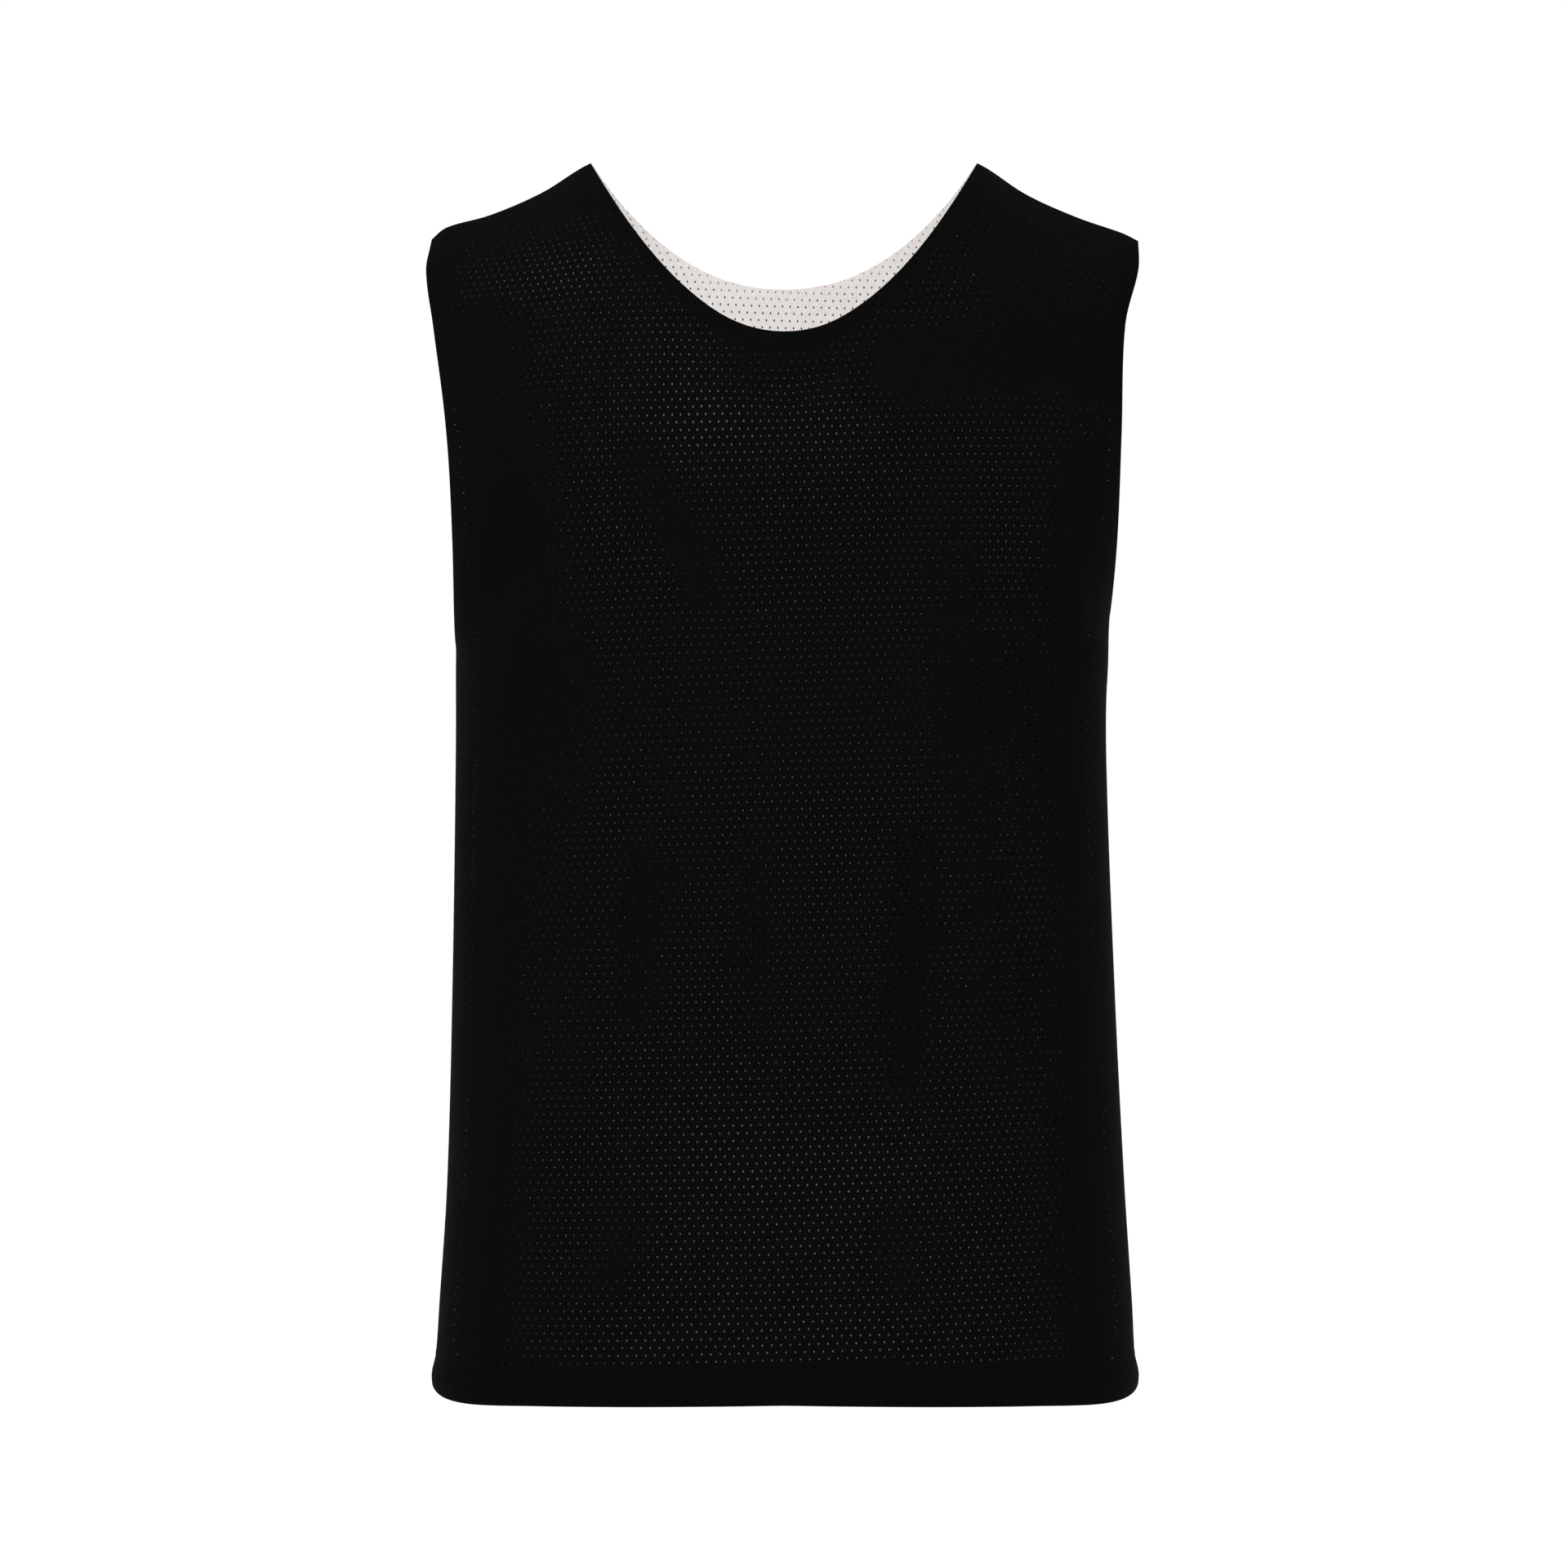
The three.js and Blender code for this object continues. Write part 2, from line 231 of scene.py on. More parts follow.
# How far the cloth is stretched across and drawn in along, by the distance up from the hem.
STRETCH = rows_of(
    "height across along",
    (0, 1.12, 0.94),
    (90, 1.1, 0.95),
    (300, 1.015, 1),
    (440, 1, 1),
    (800, 1, 1),
)

# A hole's size as a share of the knit's own: less by this much for each unit of slack.
SHUT_BY_SLACK = 0.1
LEAST_OPEN = 0.34
MOST_OPEN = 1.4

# The hole's eight points, as shares of its size to each side of its middle.
HOLE_SIDE_TOP = 0.2         # how far up its straight sides run
HOLE_END_CORNER = 0.22      # how far out the corners of its ends are

EDGE_ROLL = 0.3             # radius of a turned edge
SEAM_ALLOWANCE = 12
INNER_TOP_ALLOWANCE = 8     # at the neck and shoulders of the white layer
HEM_TURN_UP = 24
PLAIN_RIM = 1.3             # no hole opens nearer to an edge than this

# Depths of the cloth inside the solids' outer face.
OUTER_DEPTH = 0.2
INNER_EDGE_DEPTH = 1.9      # where both layers are turned in towards each other
INNER_DEPTH = 1.5           # where the layers lie close
INNER_EASE = 8              # over this breadth the depth changes

HEM_STITCH_LINE = 18        # from the hem up to its row of stitches
HEM_GROOVE = 0.2            # how deep the stitches pull the cloth in
HEM_GROOVE_BREADTH = 2.4
STITCH_LIFT = 0.02
THREAD = dict(pitch=3.2, stitch=2.7, thickness=0.36)

# The rule of the form: how rows bend up to the armholes, and how folds die away near the edges.
EDGE_BEND = 3
FOLDS_FADE_ACROSS = 6
FOLDS_FADE_UP = 10
SHOULDER_SEAM = 3           # how far up the shoulder seams are, as up is counted
NORMAL_STEP = 0.01          # to each side, where a normal is taken
HALVINGS = 30               # that find where a line is cut
STRETCH_STEP = 2

COLUMNS_ACROSS_STRAP = 24
COLUMNS_ACROSS_NECK = 44
HEM_SHARE = 0.07            # of the way up to the underarms, where the rows stand closer
ROWS_IN_HEM = 16
ROWS_TO_UNDERARM = 88
ROWS_ABOVE_UNDERARM = 50

# The studio, in metres but for the lens and the height of the view, which are in millimetres.
CAMERA = dict(lens=150.7, sensor=36, distance=3.8, height=354.4)
FLOOR = dict(radius=14, below_hem=0.35, sides=96, glow=0.12)
LAMPS = [
    dict(name="key", place=(-0.9, -1.7, 1.5), aim=(0, 0, -0.1), size=1.2, power=34),
    dict(name="fill", place=(2.4, -2.4, 0.8), aim=(0, 0, -0.2), size=2.2, power=18),
]


# ---- Reading the tables ----------------------------------------------------------------------

def curve_through(table, along, column, where):
    """A smooth curve through one column of a table, read at an array of places."""
    place = np.array([row[along] for row in table], float)
    value = np.array([row[column] for row in table], float)
    before = np.maximum(np.arange(len(table)) - 1, 0)
    after = np.minimum(np.arange(len(table)) + 1, len(table) - 1)
    slope = (value[after] - value[before]) / (place[after] - place[before])
    where = np.clip(np.asarray(where, float), place[0], place[-1])
    k = np.clip(np.searchsorted(place, where) - 1, 0, len(table) - 2)
    span = place[k + 1] - place[k]
    t = (where - place[k]) / span
    rise = t * t * (3 - 2 * t)
    level = value[k] + (value[k + 1] - value[k]) * rise
    return level + span * slope[k] * t * (1 - t) ** 2 - span * slope[k + 1] * t * t * (1 - t)


def on_side(table, along, side, where):
    """The table's left column where side is negative, and its right one elsewhere."""
    left = curve_through(table, along, "left", where)
    right = curve_through(table, along, "right", where)
    return np.where(side < 0, left, right)


# ---- The form of a panel ---------------------------------------------------------------------
# across runs from -1 at one side seam or armhole edge to 1 at the other. up runs from 0 at the
# hem through 1 at the underarms and 2 where the armholes are widest to 3 at the shoulder seams.

def mix(low, high, share):
    return low + (high - low) * share


def on_section(panel, across, half_width, edge_depth, depth):
    edge_share = np.minimum(edge_depth / depth, 1)
    edge_angle = np.arccos(edge_share)
    out = np.sin(across * edge_angle) / np.sin(edge_angle)
    falls = abs(out) ** FULLNESS * (1 - edge_share**FULLNESS)
    y = depth * np.maximum(1 - falls, 0) ** (1 / FULLNESS)
    return panel["facing"] * half_width * out, -panel["facing"] * y


def body_point(panel, across, rise):
    side = panel["facing"] * across
    hem = curve_through(HEM_LINE, "across", "height", abs(across))
    height = mix(hem, UNDERARM_HEIGHT + UNDERARM_TILT * side, rise)
    depth = curve_through(DEPTHS, "height", panel["name"], height)
    x, y = on_section(panel, across, on_side(WIDTHS, "height", side, height), 0, depth)
    return np.stack([x, y, height], -1)


def chest_point(panel, across, rise):
    side = panel["facing"] * across
    turn = rise * math.pi / 2
    underarm = UNDERARM_HEIGHT + UNDERARM_TILT * side
    edge = ARMHOLE_WAIST_HEIGHT - (ARMHOLE_WAIST_HEIGHT - underarm) * np.cos(turn)
    middle = mix(underarm, CHEST_TURN_HEIGHT, rise)
    depth = curve_through(DEPTHS, "height", panel["name"], middle)
    half_width = on_side(WIDTHS, "height", side, edge)
    x, y = on_section(panel, across, half_width, ARMHOLE_HALF_DEPTH * np.sin(turn), depth)
    return np.stack([x, y, mix(middle, edge, abs(across) ** EDGE_BEND)], -1)


def shoulder_point(panel, across, rise):
    side = panel["facing"] * across
    turn = rise * SHOULDER_ROLL
    raised = np.sin(turn) / math.sin(SHOULDER_ROLL)
    forward = (np.cos(turn) - math.cos(SHOULDER_ROLL)) / (1 - math.cos(SHOULDER_ROLL))
    edge = mix(ARMHOLE_WAIST_HEIGHT, SHOULDER_TIP_HEIGHT, raised)
    depth = curve_through(DEPTHS, "height", panel["name"], CHEST_TURN_HEIGHT)
    half_width = on_side(WIDTHS, "height", side, edge)
    x, y = on_section(panel, across, half_width, ARMHOLE_HALF_DEPTH, depth)
    base = mix(CHEST_TURN_HEIGHT, ARMHOLE_WAIST_HEIGHT, abs(across) ** EDGE_BEND)
    top = on_side(SHOULDER_LINE, "x", x, abs(x))
    return np.stack([x, y * forward, mix(base, top, raised)], -1)


def smooth_point(panel, across, up):
    body = body_point(panel, across, np.clip(up, 0, 1))
    chest = chest_point(panel, across, np.clip(up - 1, 0, 1))
    shoulder = shoulder_point(panel, across, np.clip(up - 2, 0, 1))
    up = up[..., None]
    return np.where(up <= 1, body, np.where(up <= 2, chest, shoulder))


def relief_of(folds, point):
    relief = np.zeros(point.shape[:-1])
    for fold in folds:
        run_x = fold["to_x"] - fold["x"]
        run_z = fold["to_height"] - fold["height"]
        x = point[..., 0] - fold["x"]
        z = point[..., 2] - fold["height"]
        nearest = np.clip((x * run_x + z * run_z) / (run_x**2 + run_z**2), 0, 1)
        away = np.hypot(x - nearest * run_x, z - nearest * run_z) / fold["breadth"]
        relief += fold["relief"] * np.exp(-away * away)
    return relief


def normals_of(panel, across, up, point_at):
    left = point_at(panel, np.maximum(across - NORMAL_STEP, -1), up)
    right = point_at(panel, np.minimum(across + NORMAL_STEP, 1), up)
    low = point_at(panel, across, np.maximum(up - NORMAL_STEP, 0))
    high = point_at(panel, across, np.minimum(up + NORMAL_STEP, SHOULDER_SEAM))
    normal = np.cross(right - left, high - low)
    return normal / np.linalg.norm(normal, axis=-1, keepdims=True)


def folded_point(panel, across, up):
    """The garment's outer face. Folds die away before the seams and the edges."""
    point = smooth_point(panel, across, up)
    inside = (1 - abs(across) ** FOLDS_FADE_ACROSS) * (1 - (up / SHOULDER_SEAM) ** FOLDS_FADE_UP)
    relief = relief_of(panel["folds"], point) * inside
    return point + normals_of(panel, across, up, smooth_point) * relief[..., None]


# ---- The cut: side seam, armhole, shoulder seam and neck -------------------------------------

def halve(low, high, is_past):
    """The place between low and high, in arrays, where is_past turns true."""
    for _ in range(HALVINGS):
        middle = (low + high) / 2
        past = is_past(middle)
        high = np.where(past, middle, high)
        low = np.where(past, low, middle)
    return low


def top_of(panel, across):
    """How far up each column runs: to the shoulder seam, or to the neck where it is cut away."""

    def cut(up):
        point = smooth_point(panel, across, up)
        out = abs(point[..., 0]) / NECK_HALF_WIDTH
        neck = NECK_POINT_HEIGHT - panel["neck_drop"] * (1 - out ** panel["neck_power"])
        return (out < 1 - 1e-7) & (point[..., 2] > neck)

    whole = np.full(across.shape, float(SHOULDER_SEAM))
    return np.where(cut(whole), halve(whole / SHOULDER_SEAM, whole, cut), whole)


def columns_of(panel):
    seam = np.full(1, float(SHOULDER_SEAM))

    def neck_point(side):
        def past(middle):
            return abs(smooth_point(panel, side * middle, seam)[..., 0]) >= NECK_HALF_WIDTH

        return side * halve(np.zeros(1), np.ones(1), past)[0]

    first, second = neck_point(-1), neck_point(1)
    strap, neck = COLUMNS_ACROSS_STRAP, COLUMNS_ACROSS_NECK
    return np.concatenate([
        np.linspace(-1, first, strap, endpoint=False),
        np.linspace(first, second, neck, endpoint=False),
        np.linspace(second, 1, strap + 1),
    ])


def grid_of(panel):
    """Arrays of across and up, one row for each column of the panel, from the hem up."""
    columns = columns_of(panel)
    top = top_of(panel, columns)
    hem = np.linspace(0, HEM_SHARE, ROWS_IN_HEM, endpoint=False)
    body = np.linspace(HEM_SHARE, 1, ROWS_TO_UNDERARM - ROWS_IN_HEM, endpoint=False)
    below = np.concatenate([hem, body])
    above = np.linspace(0, 1, ROWS_ABOVE_UNDERARM + 1)
    up = np.concatenate([
        np.broadcast_to(below, (len(columns), len(below))),
        1 + (top - 1)[:, None] * above,
    ], axis=1)
    across = np.broadcast_to(columns[:, None], up.shape).copy()
    return across, up


# ---- Sheets of cloth -------------------------------------------------------------------------

def worn_panel(panel):
    """A panel's grid in metres: its points on the garment's outer face and their normals."""
    across, up = grid_of(panel)
    point = folded_point(panel, across, up)
    slack = relief_of(panel["slack"], point)
    normal = normals_of(panel, across, up, folded_point)
    on_side_seam = (abs(across) == 1) & (up <= 1)
    normal[..., 1] = np.where(on_side_seam | (up == SHOULDER_SEAM), 0, normal[..., 1])
    normal /= np.linalg.norm(normal, axis=-1, keepdims=True)
    point[..., 1] -= panel["facing"] * EDGE_ROLL
    point[..., 2] += LEVEL_LINE
    return dict(point=point * MM, normal=normal, slack=slack)


def quads_of(columns, rows):
    corner = (np.arange(columns - 1)[:, None] * rows + np.arange(rows - 1)).ravel()
    return np.stack([corner, corner + rows, corner + rows + 1, corner + 1], -1)


def mesh_from(name, points, faces):
    mesh = bpy.data.meshes.new(name)
    mesh.from_pydata(np.asarray(points).reshape(-1, 3).tolist(), [], np.asarray(faces).tolist())
    return mesh


def shown(name, mesh):
    piece = bpy.data.objects.new(name, mesh)
    bpy.context.scene.collection.objects.link(piece)
    return piece


def laid_flat(point):
    """Where each point of a grid lies on the cut, in metres, with the least stretch."""
    columns, rows = point.shape[:2]
    mesh = mesh_from("pattern", point, quads_of(columns, rows))
    piece = shown("pattern", mesh)
    bpy.ops.object.select_all(action="DESELECT")
    bpy.context.view_layer.objects.active = piece
    piece.select_set(True)
    bpy.ops.object.mode_set(mode="EDIT")
    bpy.ops.mesh.select_all(action="SELECT")
    bpy.ops.uv.unwrap(method="MINIMUM_STRETCH", iterations=30, margin=0)
    bpy.ops.object.mode_set(mode="OBJECT")
    corner = np.zeros(len(mesh.loops) * 2)
    mesh.uv_layers.active.data.foreach_get("uv", corner)
    vertex = np.zeros(len(mesh.loops), int)
    mesh.loops.foreach_get("vertex_index", vertex)
    flat = np.zeros((columns * rows, 2))
    flat[vertex] = corner.reshape(-1, 2)
    bpy.data.objects.remove(piece)
    bpy.data.meshes.remove(mesh)
    return straightened(flat.reshape(columns, rows, 2), point)


def straightened(flat, point):
    """Scales the cut to the cloth's real size and stands its middle line upright."""
    middle = flat.shape[0] // 2
    underarm = ROWS_TO_UNDERARM
    worn_length = np.linalg.norm(np.diff(point[middle, :underarm], axis=0), axis=-1).sum()
    upright = flat[middle, underarm - 1] - flat[middle, 0]
    flat = (flat - flat[middle, 0]) * worn_length / np.hypot(*upright)
    upright = flat[middle, underarm - 1]
    along = upright / np.hypot(*upright)
    sideways = np.array([along[1], -along[0]])
    flat = np.stack([flat @ sideways, flat @ along], -1)
    if flat[-1, 0, 0] < flat[0, 0, 0]:
        flat[..., 0] *= -1
    return flat


def unstretched(flat):
    """The cut as it was before wearing stretched it."""
    height = flat[..., 1] / MM
    across = curve_through(STRETCH, "height", "across", height)
    steps = np.arange(0, STRETCH[-1]["height"] + 1, STRETCH_STEP)
    along = curve_through(STRETCH, "height", "along", steps)
    length = np.concatenate([[0], np.cumsum(2 / (along[1:] + along[:-1]) * np.diff(steps))])
    rise = np.where(height < 0, height / along[0], np.interp(height, steps, length))
    return np.stack([flat[..., 0] / across, rise * MM], -1)


def turned_to_grain(flat, tilt):
    """The cut turned on the cloth, whose rows of holes stay level."""
    turn = np.array([[math.cos(tilt), math.sin(tilt)], [-math.sin(tilt), math.cos(tilt)]])
    return flat @ turn.T


def inset_of(flat):
    """How far inside the edge of the cut each point of the grid lies."""
    edge = np.concatenate([flat[:, 0], flat[-1, :], flat[::-1, -1], flat[0, ::-1]])
    points = flat.reshape(-1, 1, 2)
    nearest = np.full(len(points), np.inf)
    for first in range(0, len(edge), 100):
        away = np.linalg.norm(points - edge[None, first:first + 100], axis=-1)
        nearest = np.minimum(nearest, away.min(axis=1))
    return nearest.reshape(flat.shape[:2])


# Turns a grid so that its lines run inwards from an edge.
TURNED = {
    "hem": lambda grid: grid,
    "left": lambda grid: grid.transpose(1, 0, 2),
    "right": lambda grid: grid[::-1].transpose(1, 0, 2),
    "top": lambda grid: grid[:, ::-1],
}

ROLL_ANGLES = np.linspace(0, math.pi, 7)
FLAT_STEPS = 7


def along_line(line, distance):
    """The place and the share between points, at a distance along a line of points."""
    length = np.concatenate([[0], np.cumsum(np.linalg.norm(np.diff(line, axis=0), axis=-1))])
    k = min(max(np.searchsorted(length, distance) - 1, 0), len(line) - 2)
    return k, (distance - length[k]) / (length[k + 1] - length[k])


def turned_edge(sheet, edge, reach):
    """A strip that rolls over at an edge of the cloth and lies flat against its hidden side."""
    lines = TURNED[edge](sheet["cloth"])
    normals = TURNED[edge](sheet["normal"])
    roll = EDGE_ROLL * MM
    under = sheet["turns"] * roll
    strip = []
    for line, normal in zip(lines, normals):
        inward = line[1] - line[0]
        inward = inward - normal[0] * (inward @ normal[0])
        inward = inward / np.linalg.norm(inward)
        row = []
        for angle in ROLL_ANGLES:
            bulge = -inward * roll * math.sin(angle)
            row.append(line[0] + bulge - normal[0] * under * (1 - math.cos(angle)))
        for distance in np.linspace(0, reach * MM, FLAT_STEPS)[1:]:
            k, share = along_line(line, distance)
            place = line[k] + (line[k + 1] - line[k]) * share
            face = normal[k] + (normal[k + 1] - normal[k]) * share
            row.append(place - face * 2 * under)
        strip.append(row)
    return np.array(strip)


# ---- Perforated cloth, made by nodes ---------------------------------------------------------

class Maker:
    """Adds nodes to a tree and joins them as it goes."""

    def __init__(self, tree):
        self.tree = tree

    def add(self, kind, inputs=None, **settings):
        made = self.tree.nodes.new(kind)
        for name, value in settings.items():
            setattr(made, name, value)
        for name, value in (inputs or {}).items():
            self.put(made.inputs[name], value)
        return made

    def put(self, socket, value):
        if isinstance(value, bpy.types.NodeSocket):
            self.tree.links.new(value, socket)
        else:
            socket.default_value = value

    def sum(self, operation, *values):
        """A Math node: its result."""
        made = self.tree.nodes.new("ShaderNodeMath")
        made.operation = operation
        for socket, value in zip(made.inputs, values):
            self.put(socket, value)
        return made.outputs[0]

    def plus(self, *values):
        return self.sum("ADD", *values)

    def minus(self, *values):
        return self.sum("SUBTRACT", *values)

    def times(self, *values):
        return self.sum("MULTIPLY", *values)

    def over(self, *values):
        return self.sum("DIVIDE", *values)

    def both(self, operation, *values):
        """A Boolean Math node: its result."""
        made = self.tree.nodes.new("FunctionNodeBooleanMath")
        made.operation = operation
        for socket, value in zip(made.inputs, values):
            self.put(socket, value)
        return made.outputs[0]

    def vector(self, operation, *values):
        """A Vector Math node: all its results."""
        made = self.tree.nodes.new("ShaderNodeVectorMath")
        made.operation = operation
        for socket, value in zip(made.inputs, values):
            self.put(socket, value)
        return made.outputs

    def named(self, name, kind):
        """The value of a named attribute."""
        made = self.add("GeometryNodeInputNamedAttribute", {"Name": name}, data_type=kind)
        return made.outputs["Attribute"]

    def nearest(self, surface, kind, value, place):
        """A value read off a surface at its nearest point to a place."""
        made = self.add("GeometryNodeSampleNearestSurface", {"Mesh": surface}, data_type=kind)
        self.put(made.inputs["Value"], value)
        self.put(made.inputs["Sample Position"], place)
        return made.outputs["Value"]

    def point(self, x, y, z=0.0):
        made = self.tree.nodes.new("ShaderNodeCombineXYZ")
        for socket, value in zip(made.inputs, (x, y, z)):
            self.put(socket, value)
        return made.outputs[0]


def new_tree(name, inputs):
    """A Geometry Nodes tree with a Geometry input and output and the named inputs."""
    tree = bpy.data.node_groups.new(name, "GeometryNodeTree")
    tree.interface.new_socket("Geometry", in_out="INPUT", socket_type="NodeSocketGeometry")
    for label, kind in inputs.items():
        tree.interface.new_socket(label, in_out="INPUT", socket_type=kind)
    tree.interface.new_socket("Geometry", in_out="OUTPUT", socket_type="NodeSocketGeometry")
    return tree


def perforated_cloth_tree():
    """Knits a staggered mesh of holes over a flat cut, trims it to the cut and puts it on.

    Each hole is three cells of a grid, two cells to a pitch and four cells to a row, whose
    corners are drawn in to eight points round an oval.
    """
    size = "NodeSocketFloat"
    tree = new_tree("Perforated cloth", {
        "Pitch": size,
        "Row": size,
        "Shift": size,
        "Hole Width": size,
        "Hole Height": size,
        "Plain Rim": size,
        "Pairs": "NodeSocketInt",
        "Rows": "NodeSocketInt",
        "Cloth": "NodeSocketMaterial",
    })
    make = Maker(tree)
    given = make.add("NodeGroupInput").outputs
    cut = given["Geometry"]

    verts_x = make.plus(make.times(given["Pairs"], 4.0), 1.0)
    verts_y = make.plus(make.times(given["Rows"], 8.0), 1.0)
    grid = make.add("GeometryNodeMeshGrid", {"Vertices X": verts_x, "Vertices Y": verts_y})

    index = make.add("GeometryNodeInputIndex").outputs[0]
    column = make.sum("FLOOR", make.over(index, verts_y))
    level = make.minus(index, make.times(column, verts_y))
    hole_row = make.sum("FLOOR", make.over(level, 4.0))
    step = make.minus(level, make.times(hole_row, 4.0))
    stagger = make.sum("MODULO", hole_row, 2.0)
    shifted = make.minus(column, stagger)
    pair = make.sum("FLOOR", make.over(shifted, 2.0))
    hand = make.minus(shifted, make.times(pair, 2.0))

    from_middle = make.minus(step, 1.5)
    at_end = make.sum("GREATER_THAN", make.sum("ABSOLUTE", from_middle), 1.0)
    tallness = make.sum("MULTIPLY_ADD", at_end, 0.5 - HOLE_SIDE_TOP, HOLE_SIDE_TOP)
    wideness = make.sum("MULTIPLY_ADD", at_end, HOLE_END_CORNER - 0.5, 0.5)
    half_pairs = make.minus(pair, given["Pairs"])
    half_rows = make.minus(hole_row, given["Rows"])
    staggered = make.sum("MULTIPLY_ADD", stagger, 0.5, make.plus(half_pairs, given["Shift"]))
    centre_x = make.times(staggered, given["Pitch"])
    centre_y = make.times(half_rows, given["Row"])
    outwards = make.sum("MULTIPLY_ADD", hand, 2.0, -1.0)
    opened = make.nearest(cut, "FLOAT", make.named("open", "FLOAT"), make.point(centre_x, centre_y))
    wide = make.times(given["Hole Width"], opened)
    tall = make.times(given["Hole Height"], opened)
    aside = make.times(make.times(outwards, wideness), wide)
    upward = make.times(make.sum("SIGN", from_middle), tallness)
    x = make.plus(centre_x, aside)
    y = make.sum("MULTIPLY_ADD", upward, tall, centre_y)
    laid = {"Geometry": grid.outputs["Mesh"], "Position": make.point(x, y)}
    knit = make.add("GeometryNodeSetPosition", laid)

    place = make.add("GeometryNodeInputPosition").outputs[0]
    nearest = make.nearest(cut, "FLOAT_VECTOR", place, place)
    worn = make.nearest(cut, "FLOAT_VECTOR", make.named("worn", "FLOAT_VECTOR"), place)
    inset = make.nearest(cut, "FLOAT", make.named("inset", "FLOAT"), place)
    away = make.vector("DISTANCE", place, nearest)["Value"]
    outside = make.sum("GREATER_THAN", away, 1e-6)
    well_inside = make.sum("GREATER_THAN", inset, given["Plain Rim"])

    def store(geometry, name, value, kind, domain="POINT"):
        named = {"Geometry": geometry, "Name": name}
        stored = make.add("GeometryNodeStoreNamedAttribute", named, data_type=kind, domain=domain)
        make.put(stored.inputs["Value"], value)
        return stored.outputs[0]

    knit = store(knit.outputs[0], "outside", outside, "BOOLEAN")
    knit = store(knit, "well_inside", well_inside, "BOOLEAN")
    knit = store(knit, "worn", worn, "FLOAT_VECTOR")
    shift = make.point(make.times(given["Shift"], given["Pitch"]), 0.0)
    knit = store(knit, "cut", make.vector("SUBTRACT", place, shift)[0], "FLOAT2", "CORNER")

    faces_y = make.minus(verts_y, 1.0)
    face_column = make.sum("FLOOR", make.over(index, faces_y))
    face_level = make.minus(index, make.times(face_column, faces_y))
    face_row = make.sum("FLOOR", make.over(face_level, 4.0))
    face_step = make.minus(face_level, make.times(face_row, 4.0))
    odd = make.sum("MODULO", make.plus(face_column, face_row), 2.0)
    in_column = make.sum("LESS_THAN", odd, 0.5)
    in_row = make.sum("LESS_THAN", face_step, 2.5)
    hole = make.both("AND", make.both("AND", in_column, in_row), make.named("well_inside", "BOOLEAN"))
    unwanted = make.both("OR", hole, make.named("outside", "BOOLEAN"))
    selected = {"Geometry": knit, "Selection": unwanted}
    trimmed = make.add("GeometryNodeDeleteGeometry", selected, domain="FACE")

    put_on = make.add("GeometryNodeSetPosition", {
        "Geometry": trimmed.outputs[0],
        "Position": make.named("worn", "FLOAT_VECTOR"),
    })
    smooth = make.add("GeometryNodeSetShadeSmooth", {"Geometry": put_on.outputs[0]})
    tidy = smooth.outputs[0]
    for spent in ("outside", "well_inside", "worn"):
        tidy = make.add("GeometryNodeRemoveAttribute", {"Geometry": tidy, "Name": spent}).outputs[0]
    real = make.add("GeometryNodeRealizeInstances", {"Geometry": tidy})
    clothed = {"Geometry": real.outputs[0], "Material": given["Cloth"]}
    finish = make.add("GeometryNodeSetMaterial", clothed)
    make.add("NodeGroupOutput", {"Geometry": finish.outputs[0]})
    return tree


def made_by_nodes(name, mesh, tree, values):
    """Runs a tree on a mesh with the given values and returns the result as a plain mesh."""
    piece = shown(name, mesh)
    modifier = piece.modifiers.new(tree.name, "NODES")
    modifier.node_group = tree
    for item in tree.interface.items_tree:
        if item.item_type == "SOCKET" and item.in_out == "INPUT" and item.name in values:
            modifier[item.identifier] = values[item.name]
    evaluated = piece.evaluated_get(bpy.context.evaluated_depsgraph_get())
    result = bpy.data.meshes.new_from_object(evaluated)
    bpy.data.objects.remove(piece)
    return result


# ---- The four cut pieces ---------------------------------------------------------------------

def layer_depth(flat, inset, layer):
    """How deep the cloth lies inside the garment's outer face, in metres."""
    from_hem = np.linalg.norm(flat - flat[:, :1], axis=-1) / MM
    away = (from_hem - HEM_STITCH_LINE) / HEM_GROOVE_BREADTH
    groove = HEM_GROOVE * np.exp(-away * away)
    if layer == "outer":
        return (OUTER_DEPTH + groove) * MM
    past_turned = np.minimum(inset / MM - SEAM_ALLOWANCE, from_hem - HEM_TURN_UP)
    near_edge = np.clip(1 - past_turned / INNER_EASE, 0, 1)
    return (mix(INNER_DEPTH, INNER_EDGE_DEPTH, near_edge) - groove) * MM


def cloth_sheet(worn, flat, layer):
    inset = inset_of(flat)
    depth = layer_depth(flat, inset, layer)
    cloth = worn["point"] - worn["normal"] * depth[..., None]
    openness = np.clip(1 - SHUT_BY_SLACK * worn["slack"], LEAST_OPEN, MOST_OPEN)
    turns = 1 if layer == "outer" else -1
    return dict(
        cloth=cloth, normal=worn["normal"], flat=flat, inset=inset, open=openness, turns=turns
    )


def flat_mesh(name, sheet):
    """The cut laid flat, which carries where each of its points is worn."""
    columns, rows = sheet["flat"].shape[:2]
    flat = np.concatenate([sheet["flat"], np.zeros((columns, rows, 1))], -1)
    mesh = mesh_from(name, flat, quads_of(columns, rows))
    worn = mesh.attributes.new("worn", "FLOAT_VECTOR", "POINT")
    worn.data.foreach_set("vector", sheet["cloth"].ravel())
    inset = mesh.attributes.new("inset", "FLOAT", "POINT")
    inset.data.foreach_set("value", sheet["inset"].ravel())
    openness = mesh.attributes.new("open", "FLOAT", "POINT")
    openness.data.foreach_set("value", sheet["open"].ravel())
    return mesh


